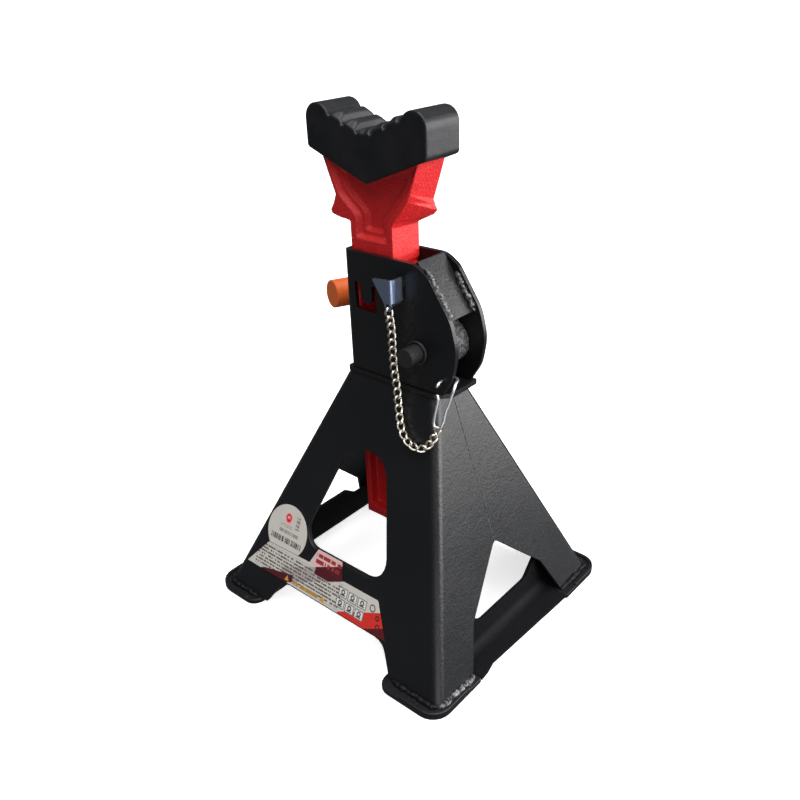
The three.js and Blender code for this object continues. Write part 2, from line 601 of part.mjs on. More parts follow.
add('round_label', cut(
  solid(onFrontFace(disc, 0.3, CLEAR)),
  onFrontFace(outline([
    [-90, slope(15)], [-20, slope(15)], [-26, slope(43.3)], [-69, slope(42)],
  ]), 3, -1),
), LABEL);

export default stand;
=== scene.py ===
"""Looks of the axle jack stand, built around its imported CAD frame. Metres, +Z up, feet on z = 0."""

import math
import random

import bpy
from mathutils import Euler, Matrix, Quaternion, Vector, noise


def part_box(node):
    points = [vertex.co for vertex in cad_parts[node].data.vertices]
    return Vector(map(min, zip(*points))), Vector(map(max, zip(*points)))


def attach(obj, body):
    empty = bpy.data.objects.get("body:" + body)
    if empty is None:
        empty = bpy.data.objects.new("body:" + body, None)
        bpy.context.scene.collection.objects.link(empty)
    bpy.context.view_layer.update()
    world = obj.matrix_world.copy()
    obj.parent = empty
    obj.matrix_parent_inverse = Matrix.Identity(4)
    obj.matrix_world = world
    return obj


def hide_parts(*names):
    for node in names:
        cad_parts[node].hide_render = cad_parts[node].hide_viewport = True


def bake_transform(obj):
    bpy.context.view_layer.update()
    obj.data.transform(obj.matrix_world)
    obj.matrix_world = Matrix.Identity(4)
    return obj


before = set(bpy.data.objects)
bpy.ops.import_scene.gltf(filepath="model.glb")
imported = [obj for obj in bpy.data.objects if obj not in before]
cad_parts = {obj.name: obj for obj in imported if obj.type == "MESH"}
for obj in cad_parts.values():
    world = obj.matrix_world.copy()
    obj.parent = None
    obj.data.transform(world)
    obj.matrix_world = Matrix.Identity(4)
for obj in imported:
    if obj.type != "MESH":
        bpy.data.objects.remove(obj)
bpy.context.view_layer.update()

MM = 0.001

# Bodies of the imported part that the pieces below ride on.
FRAME = "frame"

random.seed(7)


def mm(x, y, z):
    """A point given in millimetres, as a vector in metres."""
    return Vector((x, y, z)) * MM


# ------------------------------------------------------------------ material building
class Shader:
    """Builds one node material. Every method returns a socket that the next one can take."""

    def __init__(self, name):
        self.material = bpy.data.materials.new(name)
        self.material.use_nodes = True
        self.tree = self.material.node_tree
        self.surface = self.tree.nodes["Principled BSDF"]
        self.place = self.tree.nodes.new("ShaderNodeTexCoord").outputs["Object"]

    def node(self, kind, **settings):
        made = self.tree.nodes.new(kind)
        for key, value in settings.items():
            setattr(made, key, value)
        return made

    def put(self, value, socket):
        """Links a socket, or sets a plain value."""
        if isinstance(value, bpy.types.NodeSocket):
            self.tree.links.new(value, socket)
        else:
            socket.default_value = value

    def math(self, operation, a, b=0.0, c=0.0, clamp=False):
        made = self.node("ShaderNodeMath", operation=operation, use_clamp=clamp)
        for value, socket in zip((a, b, c), made.inputs):
            self.put(value, socket)
        return made.outputs[0]

    def noise(self, size, detail=2.0, rough=0.5, at=None):
        """Noise from 0 to 1 whose features are about size metres across."""
        made = self.node("ShaderNodeTexNoise")
        self.put(at or self.place, made.inputs["Vector"])
        made.inputs["Scale"].default_value = 1 / size
        made.inputs["Detail"].default_value = detail
        made.inputs["Roughness"].default_value = rough
        return made.outputs["Fac"]

    def remap(self, value, low, high, to_low, to_high):
        made = self.node("ShaderNodeMapRange")
        self.put(value, made.inputs["Value"])
        for name, number in zip(("From Min", "From Max", "To Min", "To Max"), (low, high, to_low, to_high)):
            made.inputs[name].default_value = number
        return made.outputs["Result"]

    def blend(self, factor, a, b):
        """Colour a where factor is 0, colour b where it is 1."""
        made = self.node("ShaderNodeMix", data_type="RGBA")
        self.put(factor, made.inputs["Factor"])
        for value, name in ((a, "A"), (b, "B")):
            socket = next(s for s in made.inputs if s.name == name and s.type == "RGBA")
            self.put(value if isinstance(value, bpy.types.NodeSocket) else (*value, 1.0), socket)
        return next(s for s in made.outputs if s.type == "RGBA")

    def bump(self, height, depth, normal=None):
        """depth is the real height, in metres, that a change of 1 in height stands for."""
        made = self.node("ShaderNodeBump")
        made.inputs["Distance"].default_value = depth
        made.inputs["Strength"].default_value = 1.0
        self.put(height, made.inputs["Height"])
        if normal is not None:
            self.put(normal, made.inputs["Normal"])
        return made.outputs["Normal"]

    def set(self, **values):
        """Sets inputs of the Principled shader; an underscore in a name stands for a space."""
        for key, value in values.items():
            socket = self.surface.inputs[key.replace("_", " ")]
            if not isinstance(value, bpy.types.NodeSocket) and socket.type == "RGBA":
                value = (*value, 1.0)
            self.put(value, socket)
        return self


def powder_coat(name, dark, pale, rough, specular=0.5):
    """Black powder coat: a fine grained skin, a trace of dust and slightly uneven gloss."""
    s = Shader(name)
    cloud = s.noise(0.05, 3)
    grain = s.noise(0.0015, 3, 0.6)
    dust = s.remap(s.noise(0.0016, 4), 0.58, 0.75, 0.0, 0.35)
    s.set(
        Base_Color=s.blend(dust, s.blend(cloud, dark, pale), (0.016, 0.016, 0.018)),
        Roughness=s.remap(cloud, 0.3, 0.7, rough, rough + 0.08),
        Normal=s.bump(grain, 0.00017, s.bump(s.noise(0.005, 2), 0.0001)),
    )
    s.set(Metallic=0.0)
    s.surface.inputs["Specular IOR Level"].default_value = specular
    return s.material


def weld_metal(name, dark, pale, lump_size, depth, rough, specular=0.5):
    """Black paint over a rippled weld bead, glossier than the sheet; the pale colour laid on its lumps is a
    painted glint.
    """
    s = Shader(name)
    lumps = s.noise(lump_size, 3)
    s.set(
        # painted highlight: the lumps take the pale colour
        Base_Color=s.blend(s.remap(lumps, 0.42, 0.68, 0.0, 1.0), dark, pale),
        Roughness=s.remap(lumps, 0.3, 0.7, rough + 0.12, rough),
        Normal=s.bump(s.noise(0.7 * lump_size, 3), depth),
    )
    s.set(Metallic=0.05)
    s.surface.inputs["Specular IOR Level"].default_value = specular
    return s.material


def cast_red():
    """Red paint over a sand casting: a coarse grain that the paint softens, with darker red painted into the
    grain's hollows as painted shade.
    """
    s = Shader("painted_casting_red")
    cloud = s.noise(0.012, 3)
    grain = s.noise(0.0013, 3, 0.6)
    red = s.blend(cloud, (0.60, 0.010, 0.013), (0.70, 0.016, 0.017))
    # painted shade: the low points of the grain, which the bump sinks, are coloured a darker red
    hollow_shade = s.remap(grain, 0.3, 0.48, 0.4, 0.0)
    s.set(
        Base_Color=s.blend(hollow_shade, red, (0.36, 0.006, 0.009)),
        Roughness=s.remap(grain, 0.3, 0.7, 0.56, 0.44),
        Normal=s.bump(grain, 0.0006, s.bump(s.noise(0.006, 2), 0.0004)),
    )
    s.set(Metallic=0.0)
    return s.material


def cast_black():
    """Black paint over a rough casting, for the pawl and its lever. The high points of its grain are painted
    pale grey, a painted glint.
    """
    s = Shader("painted_casting_black")
    grain = s.noise(0.0017, 4, 0.6)
    s.set(
        # painted highlight: the grain's raised points turn pale grey over the black paint
        Base_Color=s.blend(s.remap(grain, 0.45, 0.7, 0.0, 1.0), (0.03, 0.03, 0.032), (0.2, 0.2, 0.21)),
        Roughness=s.remap(grain, 0.3, 0.7, 0.55, 0.36),
        Normal=s.bump(grain, 0.0008),
    )
    s.set(Metallic=0.1)
    return s.material


def turned_steel():
    """Dark oiled bar with a fine grain, for the lever rod and its ring."""
    s = Shader("dark_bar_steel")
    fine = s.noise(0.0009, 3)
    s.set(
        Base_Color=s.blend(fine, (0.018, 0.018, 0.019), (0.06, 0.06, 0.063)),
        Roughness=s.remap(fine, 0.3, 0.7, 0.34, 0.24),
        Normal=s.bump(fine, 0.00008),
    )
    s.set(Metallic=0.5)
    return s.material


def moulded_rubber():
    """Black rubber: a fine matt skin with a faint bloom."""
    s = Shader("moulded_rubber_black")
    bloom = s.remap(s.noise(0.018, 4, 0.6), 0.4, 0.75, 0.0, 1.0)
    skin = s.noise(0.0007, 3)
    s.set(
        Base_Color=s.blend(bloom, (0.0085, 0.009, 0.0105), (0.017, 0.017, 0.019)),
        Roughness=s.remap(skin, 0.3, 0.7, 0.42, 0.34),
        Normal=s.bump(skin, 0.00007, s.bump(s.noise(0.004, 2), 0.00012)),
    )
    s.surface.inputs["Specular IOR Level"].default_value = 0.3
    return s.material


def orange_vinyl():
    """Dipped vinyl grip: soft, slightly translucent, with a faint pebbled skin."""
    s = Shader("vinyl_orange")
    cloud = s.noise(0.008, 3)
    skin = s.noise(0.0008, 2)
    s.set(
        Base_Color=s.blend(cloud, (0.80, 0.135, 0.018), (0.88, 0.175, 0.03)),
        Roughness=s.remap(skin, 0.3, 0.7, 0.48, 0.38),
        Normal=s.bump(skin, 0.00006),
    )
    s.set(Subsurface_Weight=0.12)
    s.surface.inputs["Subsurface Scale"].default_value = 0.002
    return s.material


def bright_zinc(name, tint, worn, rough):
    """Plated steel: a worn tint and short scratches in an otherwise bright surface."""
    s = Shader(name)
    cloud = s.noise(0.004, 4, 0.6)
    scratch = s.noise(0.0006, 5, 0.7)
    s.set(
        Base_Color=s.blend(s.remap(cloud, 0.35, 0.7, 0.0, 1.0), tint, worn),
        Roughness=s.remap(cloud, 0.3, 0.7, rough, rough + 0.16),
        Normal=s.bump(scratch, 0.00003),
    )
    s.set(Metallic=1.0)
    return s.material


def film(name, inks):
    """Printed film. inks are (mask, colour) pairs painted one over the other on an off-white ground."""
    s = Shader(name)
    colour = s.blend(s.noise(0.01, 3), (0.55, 0.52, 0.48), (0.63, 0.60, 0.55))
    for mask, ink in inks(s):
        colour = s.blend(mask, colour, ink)
    s.set(Base_Color=colour, Roughness=s.remap(s.noise(0.02), 0.3, 0.7, 0.34, 0.44))
    s.set(Normal=s.bump(s.noise(0.012, 2), 0.0002), Metallic=0.0)
    return s.material


class Artwork:
    """Masks on the sloping front face: x across and z up, both in millimetres."""

    def __init__(self, shader):
        self.s = shader
        parts = shader.node("ShaderNodeSeparateXYZ")
        shader.put(shader.place, parts.inputs[0])
        self.x = shader.math("MULTIPLY", parts.outputs["X"], 1000.0)
        self.z = shader.math("MULTIPLY", parts.outputs["Z"], 1000.0)

    def over(self, rise, at_zero):
        """1 above the line z = at_zero + rise * x."""
        line = self.s.math("MULTIPLY_ADD", self.x, rise, at_zero)
        return self.s.math("GREATER_THAN", self.z, line)

    def under(self, rise, at_zero):
        return self.s.math("SUBTRACT", 1.0, self.over(rise, at_zero))

    def all(self, *masks):
        result = masks[0]
        for mask in masks[1:]:
            result = self.s.math("MULTIPLY", result, mask)
        return result

    def any(self, *masks):
        result = masks[0]
        for mask in masks[1:]:
            result = self.s.math("MAXIMUM", result, mask)
        return result

    def block(self, x0, x1, z0, z1):
        return self.all(
            self.s.math("GREATER_THAN", self.x, x0), self.s.math("LESS_THAN", self.x, x1),
            self.s.math("GREATER_THAN", self.z, z0), self.s.math("LESS_THAN", self.z, z1),
        )

    def ring(self, x, z, outer, inner=0.0):
        dx = self.s.math("SUBTRACT", self.x, x)
        dz = self.s.math("SUBTRACT", self.z, z)
        far = self.s.math("SQRT", self.s.math("MULTIPLY_ADD", dx, dx, self.s.math("MULTIPLY", dz, dz)))
        return self.all(self.s.math("LESS_THAN", far, outer), self.s.math("GREATER_THAN", far, inner))

    def triangle(self, x, z, size):
        """Point-up triangle standing on z, of the given height."""
        dx = self.s.math("ABSOLUTE", self.s.math("SUBTRACT", self.x, x))
        up = self.s.math("SUBTRACT", self.z, z)
        side = self.s.math("MULTIPLY_ADD", up, -0.6, 0.6 * size)
        return self.all(self.s.math("LESS_THAN", dx, side), self.s.math("GREATER_THAN", up, 0.0))

    def greeking(self, pitch, share, word, gap):
        """Rows of meaningless dashes: share of the pitch is inked, and gap of each row is left blank."""
        row = self.s.math("DIVIDE", self.z, pitch)
        inked = self.s.math("LESS_THAN", self.s.math("FRACT", row), share)
        at = self.s.node("ShaderNodeCombineXYZ")
        self.s.put(self.s.math("DIVIDE", self.x, word), at.inputs["X"])
        self.s.put(self.s.math("MULTIPLY", self.s.math("FLOOR", row), 7.31), at.inputs["Y"])
        cells = self.s.noise(1.0, 1.0, at=at.outputs[0])
        return self.all(inked, self.s.math("GREATER_THAN", cells, gap))


def banner_inks(shader):
    """Small print, a slanting dark band, pictogram boxes and a red end block, all without words."""
    art = Artwork(shader)
    small_print = art.greeking(2.15, 0.5, 1.5, 0.43)
    band = art.all(art.under(0.39, 50.3), art.over(0.41, 40.7))
    left_wedge = art.all(band, art.block(-90, -38, 0, 60), art.under(0.18, 36.6))
    band_ends = art.any(left_wedge, art.all(band, art.block(-20, 10, 38, 60)))
    body_text = art.all(art.block(-76, 6, 24.5, 41), small_print)
    title = art.all(art.block(-21, 2, 43.6, 51.6), art.greeking(4.1, 0.66, 1.7, 0.4))
    red_end = art.under(0.39, 21.75)
    yield art.all(band, art.block(-50, -4, 20, 45)), (0.42, 0.38, 0.36)
    yield art.block(-24, 5, 43, 55), (0.72, 0.47, 0.45)
    yield body_text, (0.1, 0.085, 0.08)
    yield band_ends, (0.075, 0.008, 0.012)
    yield title, (0.32, 0.03, 0.035)
    yield art.all(art.block(-37, -13, 24.4, 27.6), art.greeking(9.2, 0.9, 1.6, 0.4)), (0.45, 0.24, 0.035)
    yield art.any(art.triangle(-43, 24.4, 3.6), art.triangle(-8.5, 24.0, 4.2)), (0.55, 0.30, 0.05)
    yield art.all(red_end, art.block(6, 60, 0, 60)), (0.62, 0.028, 0.02)
    yield art.all(art.under(0.44, 10.0), art.block(6, 60, 0, 60)), (0.09, 0.008, 0.01)
    for x, z in ((7.5, 36.6), (16.0, 36.4), (24.4, 36.4), (6.9, 29.6), (15.3, 29.4), (23.7, 29.2)):
        box = art.block(x - 3.8, x + 3.8, z - 3.0, z + 3.0)
        core = art.block(x - 3.2, x + 3.2, z - 2.4, z + 2.4)
        yield box, (0.16, 0.155, 0.15)
        yield core, (0.72, 0.71, 0.68)
        bar = art.block(x - 2.1, x + 2.1, z - 1.9, z - 1.1)
        yield art.any(art.ring(x, z + 0.4, 1.7, 0.8), bar), (0.06, 0.06, 0.06)
    yield art.ring(33.2, 37.4, 2.4, 1.6), (0.08, 0.08, 0.08)
    yield art.any(art.ring(38.6, 33.2, 1.7, 0.8), art.ring(40.0, 28.4, 1.7, 0.9)), (0.05, 0.02, 0.02)


def roundel_inks(shader):
    """A plain red spot, a few marks and one bold row of dashes."""
    art = Artwork(shader)
    yield art.ring(-52.8, 62.4, 3.9), (0.78, 0.42, 0.42)
    yield art.any(art.ring(-53.1, 62.9, 2.7, 1.3), art.triangle(-53.0, 60.0, 3.2)), (0.66, 0.02, 0.03)
    yield art.all(art.block(-45.4, -41.8, 57.6, 65.8), art.greeking(2.7, 0.7, 0.9, 0.42)), (0.22, 0.2, 0.18)
    yield art.all(art.block(-59.5, -48.6, 56.2, 58.4), art.greeking(1.2, 0.5, 0.9, 0.44)), (0.3, 0.28, 0.27)
    yield art.all(art.block(-60.2, -40.8, 52.4, 54.6), art.greeking(40.0, 0.99, 1.0, 0.43)), (0.3, 0.28, 0.27)
    strokes = art.any(art.greeking(1.3, 0.62, 2.2, 0.4), art.greeking(60.0, 0.99, 0.9, 0.5))
    bold = art.all(art.greeking(60.0, 0.99, 1.5, 0.45), strokes)
    yield art.all(art.block(-66.5, -37.0, 46.2, 49.9), bold), (0.035, 0.035, 0.06)


POWDER = powder_coat("powder_coat_black", (0.0042, 0.0045, 0.0054), (0.0065, 0.0068, 0.0078), 0.3, 0.42)
# A darker copy of the black powder coat for the straps: painted shade, as they sit in shade behind the legs.
STRAP_COAT_SHADED = powder_coat("powder_coat_straps_shaded", (0.0032, 0.0034, 0.004), (0.005, 0.0052, 0.006), 0.6, 0.08)
WELD = weld_metal("painted_weld", (0.006, 0.006, 0.007), (0.010, 0.010, 0.011), 0.004, 0.00012, 0.42, 0.12)
# Pale grey lumps on a black-painted weld are painted glints; used on the cover welds and the lit side of the
# front-right foot weld.
GLINT_PAINTED_WELD = weld_metal("weld_painted_glints", (0.012, 0.012, 0.013), (0.16, 0.16, 0.16), 0.0018, 0.0004, 0.17)
# The seam's pale grey over the black coat is a painted highlight along the joint.
SEAM_PAINTED_HIGHLIGHT = weld_metal("seam_painted_highlight", (0.02, 0.02, 0.021), (0.09, 0.09, 0.09), 0.002, 0.0002, 0.3)
RED = cast_red()
CAST = cast_black()
BAR = turned_steel()
RUBBER = moulded_rubber()
VINYL = orange_vinyl()
ZINC = bright_zinc("bright_zinc_plate", (0.84, 0.85, 0.87), (0.66, 0.67, 0.70), 0.26)
BLUE_ZINC = bright_zinc("blue_zinc_plate", (0.36, 0.46, 0.70), (0.34, 0.38, 0.42), 0.3)
NICKEL = bright_zinc("warm_nickel_plate", (0.84, 0.79, 0.70), (0.62, 0.56, 0.48), 0.22)


# ------------------------------------------------------------------ camera, light and floor
CAMERA_PLACE = mm(315.18, -355.96, 390.67)
CAMERA_TURN = math.radians(41.93)
CAMERA_TILT = math.radians(62.65)
CAMERA_ROLL = math.radians(-2.37)

camera_data = bpy.data.cameras.new("camera")
camera_data.sensor_width = 36.0
camera_data.lens = 36.79
camera_data.shift_x = 0.0044
camera_data.shift_y = 0.0013
camera = bpy.data.objects.new("camera", camera_data)
bpy.context.scene.collection.objects.link(camera)
turn = Matrix.Rotation(CAMERA_TURN, 4, "Z")
tilt = Matrix.Rotation(CAMERA_TILT, 4, "X")
roll = Matrix.Rotation(CAMERA_ROLL, 4, "Z")
camera.matrix_world = Matrix.Translation(CAMERA_PLACE) @ turn @ tilt @ roll
bpy.context.scene.camera = camera
bpy.context.scene.view_settings.view_transform = "Standard"


def area_light(name, place, aim, width, height, power):
    """A rectangular lamp at place that faces aim. Metres and watts."""
    data = bpy.data.lights.new(name, "AREA")
    data.shape = "RECTANGLE"
    data.size, data.size_y = width, height
    data.energy = power
    made = bpy.data.objects.new(name, data)
    made.location = place
    made.rotation_euler = (Vector(place) - Vector(aim)).to_track_quat("Z", "Y").to_euler()
    bpy.context.scene.collection.objects.link(made)
    return made


area_light("softbox_right", (1.65, 0.3, 0.8), (0, 0, 0.15), 0.9, 1.2, 34)
area_light("softbox_back_right", (1.3, 1.3, 0.45), (0, 0, 0.15), 1.6, 1.0, 30)
card = area_light("low_card", (0.38, -0.36, 0.03), (0.02, -0.03, 0.2), 0.3, 0.3, 0.6)
card.visible_camera = False
card.data.diffuse_factor = 0.15
area_light("softbox_top", (0.3, 0.1, 2.0), (0, 0, 0.1), 1.6, 1.6, 20)

sun_data = bpy.data.lights.new("overhead", "SUN")
sun_data.energy = 2.6
sun_data.angle = math.radians(70)
sun = bpy.data.objects.new("overhead", sun_data)
sun.rotation_euler = Euler((math.radians(12), math.radians(16), 0))
bpy.context.scene.collection.objects.link(sun)

world = bpy.data.worlds.new("studio")
world.use_nodes = True
world.node_tree.nodes["Background"].inputs["Color"].default_value = (0.95, 0.97, 1.0, 1.0)
world.node_tree.nodes["Background"].inputs["Strength"].default_value = 0.13
bpy.context.scene.world = world

FLOOR_RADIUS = 600.0
FLOOR_SIDES = 96
FLOOR_DROP = 0.0003            # keeps the floor just below the feet
FLOOR_GLOW = 0.7

floor_mesh = bpy.data.meshes.new("studio_floor")
rim = [2 * math.pi * k / FLOOR_SIDES for k in range(FLOOR_SIDES)]
rim_points = [(FLOOR_RADIUS * math.cos(a), FLOOR_RADIUS * math.sin(a), 0) for a in rim]
floor_mesh.from_pydata(rim_points, [], [tuple(range(FLOOR_SIDES))])
floor = bpy.data.objects.new("studio_floor", floor_mesh)
floor.location.z = -FLOOR_DROP
bpy.context.scene.collection.objects.link(floor)
floor_look = Shader("pale_floor")
floor_look.set(Base_Color=(0.9, 0.9, 0.9), Roughness=0.8, Emission_Color=(1.0, 1.0, 1.0))
floor_look.surface.inputs["Emission Strength"].default_value = FLOOR_GLOW
floor_mesh.materials.append(floor_look.material)
floor.visible_diffuse = False
floor.visible_glossy = False


# ------------------------------------------------------------------ CAD nodes that stay
MERGE_DISTANCE = 1e-6
FLAT_ANGLE = math.radians(0.6)     # faces that meet at less than this are one flat face
EDGE_ANGLE = math.radians(32)      # edges sharper than this are rounded


def dress(name, material, bevel=None, segments=2):
    """Gives a CAD node its material, and softens its edges with modifiers only. bevel is in millimetres."""
    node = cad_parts[name]
    node.data.materials.clear()
    node.data.materials.append(material)
    node.modifiers.new("weld", "WELD").merge_threshold = MERGE_DISTANCE
    if bevel:
        flat = node.modifiers.new("flatten", "DECIMATE")
        flat.decimate_type = "DISSOLVE"
        flat.angle_limit = FLAT_ANGLE
        edge = node.modifiers.new("edge", "BEVEL")
        edge.width = bevel * MM
        edge.segments = segments
        edge.limit_method = "ANGLE"
        edge.angle_limit = EDGE_ANGLE
        edge.harden_normals = True
        node.modifiers.new("flat_faces", "WEIGHTED_NORMAL").keep_sharp = True
    for polygon in node.data.polygons:
        polygon.use_smooth = bevel is not None
    return node


RELAX_FACTOR = 0.5


def remould(name, material, voxel, rounds):
    """A cast or moulded CAD node: remeshed evenly and relaxed, so its edges round off."""
    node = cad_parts[name]
    node.data.materials.clear()
    node.data.materials.append(material)
    node.modifiers.new("weld", "WELD").merge_threshold = MERGE_DISTANCE
    even = node.modifiers.new("even", "REMESH")
    even.mode = "VOXEL"
    even.voxel_size = voxel * MM
    even.use_smooth_shade = True
    relax = node.modifiers.new("relax", "SMOOTH")
    relax.factor = RELAX_FACTOR
    relax.iterations = rounds
    return node


for name in ("base_front_shell", "base_rear_shell"):
    dress(name, POWDER, 0.5)
for name in ("side_strap_left", "side_strap_right"):
    dress(name, STRAP_COAT_SHADED, 0.5)
for corner in ("front_left", "front_right", "rear_left", "rear_right"):
    dress("foot_plate_" + corner, POWDER, 0.5)
dress("neck_collar", POWDER, 0.5)
dress("neck_housing", POWDER, 0.4)
dress("cover_plate", POWDER, 0.5)
dress("pawl", CAST, 0.7)
dress("lever_rod", BAR, 0.6)
dress("lever_retainer", BAR, 0.4)
dress("lever_grip", VINYL, 3.6, 6)
dress("pawl_roll_pin", ZINC, 0.2)
dress("lock_pin", ZINC, 0.8)
dress("lock_pin_head", BLUE_ZINC, 0.25)
remould("ratchet_column", RED, 0.55, 3)
remould("saddle_pad", RUBBER, 0.6, 10)

dress("round_label", film("round_label_film", roundel_inks))
dress("banner_label", film("banner_label_film", banner_inks))


# ------------------------------------------------------------------ swept metal pieces
def piece(name, points, faces, material, body=None):
    """A new smooth mesh object; it rides on body when one is given."""
    mesh = bpy.data.meshes.new(name)
    mesh.from_pydata(points, [], faces)
    mesh.materials.append(material)
    for polygon in mesh.polygons:
        polygon.use_smooth = True
    made = bpy.data.objects.new(name, mesh)
    bpy.context.scene.collection.objects.link(made)
    if body:
        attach(made, body)
    return made


def catmull_rom(corners, per_span):
    """Smooth line through corners, with per_span steps between each two."""
    ends = [corners[0] * 2 - corners[1], *corners, corners[-1] * 2 - corners[-2]]
    line = []
    for i in range(1, len(ends) - 2):
        a, b, c, d = ends[i - 1:i + 3]
        for k in range(per_span):
            t = k / per_span
            line.append(0.5 * (2 * b + (c - a) * t + (2 * a - 5 * b + 4 * c - d) * t * t
                               + (3 * b - a - 3 * c + d) * t ** 3))
    return line + [corners[-1].copy()]


def lengths(line):
    """Distance along the line at each of its points."""
    out = [0.0]
    for a, b in zip(line, line[1:]):
        out.append(out[-1] + (b - a).length)
    return out


def at_distance(line, along, distance):
    """Point of the line at a distance from its start."""
    for i in range(len(line) - 1):
        if along[i + 1] >= distance or i == len(line) - 2:
            t = (distance - along[i]) / (along[i + 1] - along[i])
            return line[i].lerp(line[i + 1], t)


def evenly(line, count):
    along = lengths(line)
    return [at_distance(line, along, along[-1] * k / (count - 1)) for k in range(count)]


def carried_sides(line, side, closed=False):
    """One sideways direction for each point, carried along the line without twisting."""
    sides = []
    n = len(line)
    previous = None
    for i in range(n):
        before = line[(i - 1) % n] if closed or i else line[0]
        after = line[(i + 1) % n] if closed or i < n - 1 else line[-1]
        run = (after - before).normalized()
        if previous is not None:
            side = previous.rotation_difference(run) @ side
        side = (side - run * side.dot(run)).normalized()
        sides.append((run, side))
        previous = run
    return sides


def swept(line, radius, ring, side=Vector((0, 0, 1)), closed=False):
    """Points and faces of a round bar along a line. radius is a number or one number per point."""
    points, faces = [], []
    n = len(line)
    for i, (run, across) in enumerate(carried_sides(line, side, closed)):
        up = run.cross(across)
        r = radius[i] if isinstance(radius, list) else radius
        for k in range(ring):
            a = 2 * math.pi * k / ring
            points.append(line[i] + across * (r * math.cos(a)) + up * (r * math.sin(a)))
    for i in range(n if closed else n - 1):
        j = (i + 1) % n
        for k in range(ring):
            m = (k + 1) % ring
            faces.append((i * ring + k, i * ring + m, j * ring + m, j * ring + k))
    if not closed:
        faces.append(tuple(reversed(range(ring))))
        faces.append(tuple((n - 1) * ring + k for k in range(ring)))
    return points, faces


def rounded_ends(line, radius):
    """Radii that close a swept bar with a dome at each end."""
    along = lengths(line)
    radii = []
    for d in along:
        near_end = min(d, along[-1] - d, radius)
        radii.append(max(0.08 * radius, math.sqrt(radius ** 2 - (radius - near_end) ** 2)))
    return radii


BEAD_STEP = 0.35 * MM
BEAD_RING = 14                 # points round a bead
BEAD_BASE = 0.72               # shares of the bead's radius
BEAD_LUMP = 0.3
BEAD_ROUGH = 0.28
BEAD_WANDER = 0.5
ROUGH_DETAIL = 900             # noise features per metre
WANDER_DETAIL = 260


def bead(name, corners, radius, ripple, seed, material, replaced=None):
    """A hand-laid weld: a rope of uneven lumps along the corners, thinning out at both ends."""
    line = catmull_rom(corners, 24)
    count = max(12, int(lengths(line)[-1] / BEAD_STEP))
    line = evenly(line, count)
    step = lengths(line)[1]
    radii = []
    for i, point in enumerate(line):
        lump = abs(math.sin(math.pi * i * step / ripple + seed))
        rough = noise.noise(point * ROUGH_DETAIL + Vector((seed, 0, 0)))
        end = min(1.0, (min(i, count - 1 - i) + 0.4) * step / (1.4 * radius))
        radii.append(radius * (BEAD_BASE + BEAD_LUMP * lump + BEAD_ROUGH * rough) * math.sqrt(end))
        wander = Vector([noise.noise(point * WANDER_DETAIL + Vector((0, seed, 9.0 * k))) for k in range(3)])
        line[i] = point + wander * (BEAD_WANDER * radius)
    points, faces = swept(line, radii, BEAD_RING)
    made = piece(name, points, faces, material, FRAME)
    if replaced:
        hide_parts(replaced)
    return made


# Weld beads of the cover: one on the front ear's rim, one in the corner below the rear ear's rim.
COVER_OUT = Vector((0.835, 0, 0.55)) * MM     # one millimetre straight out from the cover
COVER_BEAD_RADIUS = 1.9 * MM
COVER_BEAD_RIPPLE = 5.2 * MM
cover_low, cover_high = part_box("cover_plate")
for name, y, lift, start, end, seed in (
    ("cover_weld_front", -12.9, 3.8, 0.16, 0.98, 1.3),
    ("cover_weld_rear", 12.2, 0.9, 0.36, 1.0, 4.1),
):
    top = Vector((cover_low.x + 2.2 * MM, y * MM, cover_high.z + 0.6 * MM)) + COVER_OUT * lift
    bottom = Vector((cover_high.x + 0.4 * MM, y * MM, cover_low.z + 1.4 * MM)) + COVER_OUT * lift
    corners = [top.lerp(bottom, start + (end - start) * k / 3) for k in range(4)]
    bead(name + "_bead", corners, COVER_BEAD_RADIUS, COVER_BEAD_RIPPLE, seed, GLINT_PAINTED_WELD, name)

# Weld beads where each leg stands on its foot plate. The last number is where the bead starts.
LEG_WELD_X = 97.6
LEG_WELD_Y = 87.4
LEG_WELD_Z = 4.3
PLAIN_RUN = (1.7, 4.6, WELD)               # radius and ripple in millimetres, and the look
# The front-right foot's side run, where the light falls, alone takes the weld with painted glints: a lit copy
# of the same weld.
LIT_SIDE_RUN = (2.2, 7.0, GLINT_PAINTED_WELD)
FOOT_WELDS = (
    ("front_left", -1, -1, 66), ("front_right", 1, -1, 60),
    ("rear_left", -1, 1, 66), ("rear_right", 1, 1, 71),
)
for name, sx, sy, start in FOOT_WELDS:
    x, y = LEG_WELD_X, LEG_WELD_Y
    across = ((start, y), (start + 7, y), (start + 14, y), (x - 6, y), (x - 1.8, y - 1.8))
    along = ((x - 1.8, y - 1.8), (x, y - 6), (x, 72), (x, 62), (x, 51.5))
    side = LIT_SIDE_RUN if name == "front_right" else PLAIN_RUN
    for run, path, (radius, ripple, material) in (("across", across, PLAIN_RUN), ("along", along, side)):
        corners = [mm(sx * a, sy * b, LEG_WELD_Z) for a, b in path]
        bead_name = "foot_weld_" + name + "_" + run
        bead(bead_name, corners, radius * MM, ripple * MM, sx + 2.6 * sy, material)

# Paint-filled seams where the two halves of the base meet, down to the gap between the legs. Their paler grey
# over the black coat is a painted highlight.
SEAM_RADIUS = 0.34 * MM
SEAM_RIPPLE = 2.6 * MM
SEAM_SPANS = 4
for name, top, bottom in (
    ("seam_left", mm(-32.3, 0, 163.9), mm(-71.4, 0, 66.8)),
    ("seam_right", mm(41.7, 0, 163.9), mm(75.2, 0, 66.8)),
):
    corners = [top.lerp(bottom, k / SEAM_SPANS) for k in range(SEAM_SPANS + 1)]
    bead(name, corners, SEAM_RADIUS, SEAM_RIPPLE, top.x * 900, SEAM_PAINTED_HIGHLIGHT)

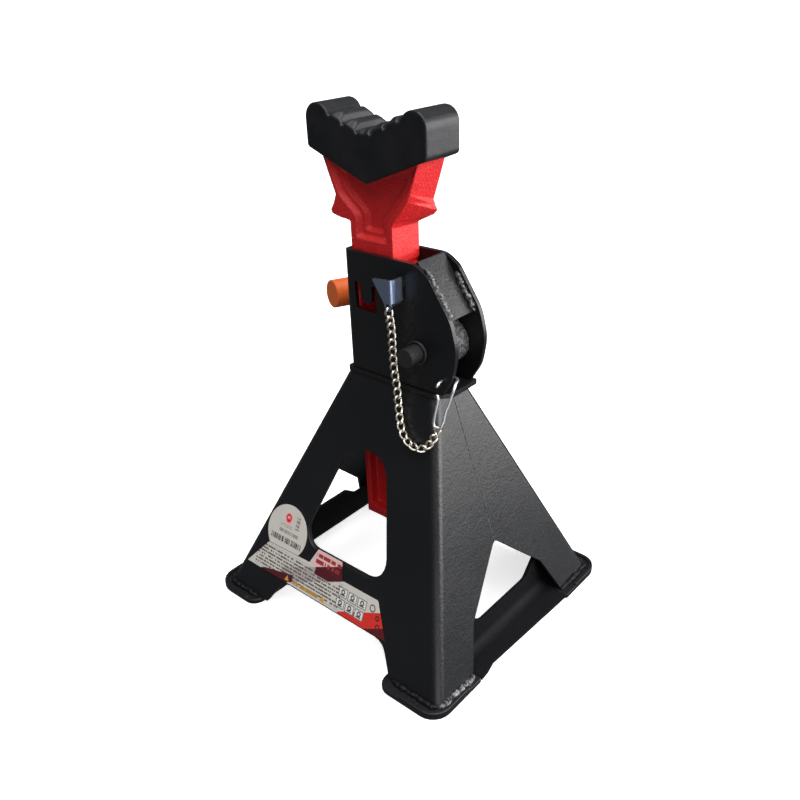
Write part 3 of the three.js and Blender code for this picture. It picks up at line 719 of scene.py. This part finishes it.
# ------------------------------------------------------------------ snap hook and keeper chain
HOOK_WIRE = 0.88 * MM          # radius of the wire
hook_corners = [mm(*p) for p in (
    (45.8, -20.6, 176), (46, -18.4, 178.2), (46.3, -14.1, 178.7), (47.2, -10.4, 179), (50.4, -8.8, 179.4),
    (54, -10.6, 179.8), (56.2, -15.4, 180), (57.4, -19, 177.4), (56.4, -22.3, 169), (55.3, -23.7, 164.5),
    (54.7, -25.4, 158.4), (53.4, -26.8, 154.2), (51.3, -27.1, 152.7), (49, -26.8, 153.2), (47.7, -26, 156),
    (47.6, -23.6, 162.5), (48, -21.9, 168.6), (47, -21.7, 172.6),
)]
HOOK_STEPS = 190
hook_line = evenly(catmull_rom(hook_corners, 16), HOOK_STEPS)
hook_points, hook_faces = swept(hook_line, rounded_ends(hook_line, HOOK_WIRE), 12)
hook = piece("snap_hook_wire", hook_points, hook_faces, ZINC, FRAME)
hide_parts("chain_snap_hook")

LINK_WIRE = 0.7 * MM           # radius of the wire
LINK_LONG = 6.6 * MM           # along the middle of the wire
LINK_WIDE = 4.1 * MM
LINK_TWIST = math.radians(45)  # each way, so that neighbours meet at right angles
LINK_PITCH = 5.25 * MM

chain_corners = [mm(*p) for p in (
    (15.5, -25.9, 221.2), (15.4, -25.6, 216.4), (14.5, -23.2, 205), (13.8, -22, 190), (14.6, -22, 178),
    (16.6, -22.6, 167.5), (19.6, -24.9, 155), (23.2, -27.9, 146.8), (28.3, -30.4, 141.2),
    (34.8, -31.6, 138.4), (41.9, -31.6, 138.5), (47.2, -29.8, 142.6), (50.3, -27.6, 149.6),
    (51.3, -27.1, 154.1),
)]
CHAIN_STEPS = 260
chain_line = evenly(catmull_rom(chain_corners, 16), CHAIN_STEPS)
chain_length = lengths(chain_line)[-1]
chain_sides = carried_sides(chain_line, Vector((1, 1, 0)).normalized())
link_count = round((chain_length - LINK_LONG) / LINK_PITCH) + 1
link_step = (chain_length - LINK_LONG) / (link_count - 1)
END_ROLL = math.radians(40)    # lets the last link cross the wire of the snap hook squarely


LINK_POINTS = 36               # points round the middle line of a link
LINK_RING = 10                 # points round its wire
ROLL_SPREAD = 7                # degrees by which a link may hang askew


def link_ring(centre, run, across):
    """Middle line of one twisted link."""
    up = run.cross(across)
    straight = (LINK_LONG - LINK_WIDE) / 2
    ring = []
    for k in range(LINK_POINTS):
        a = 2 * math.pi * (k + 0.5) / LINK_POINTS
        toward_end = math.copysign(min(1, 3 * abs(math.cos(a))), math.cos(a))
        forward = LINK_WIDE / 2 * math.cos(a) + straight * toward_end
        sideways = LINK_WIDE / 2 * math.sin(a)
        turned = LINK_TWIST * max(-1.0, min(1.0, forward / (straight + 0.25 * LINK_WIDE)))
        ring.append(centre + run * forward + (across * math.cos(turned) + up * math.sin(turned)) * sideways)
    return ring


chain_points, chain_faces = [], []
for i in range(link_count):
    distance = LINK_LONG / 2 + i * link_step
    at = min(len(chain_line) - 1, round(distance / chain_length * (len(chain_line) - 1)))
    run, across = chain_sides[at]
    roll_here = END_ROLL * i / (link_count - 1) + math.radians(random.uniform(-ROLL_SPREAD, ROLL_SPREAD))
    across = Quaternion(run, roll_here) @ across
    points, faces = swept(link_ring(chain_line[at], run, across), LINK_WIRE, LINK_RING, run, closed=True)
    base = len(chain_points)
    chain_points += points
    chain_faces += [tuple(base + index for index in face) for face in faces]
chain = piece("keeper_chain", chain_points, chain_faces, NICKEL)
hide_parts("lock_pin_chain")
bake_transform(chain)
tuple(chain_line[0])
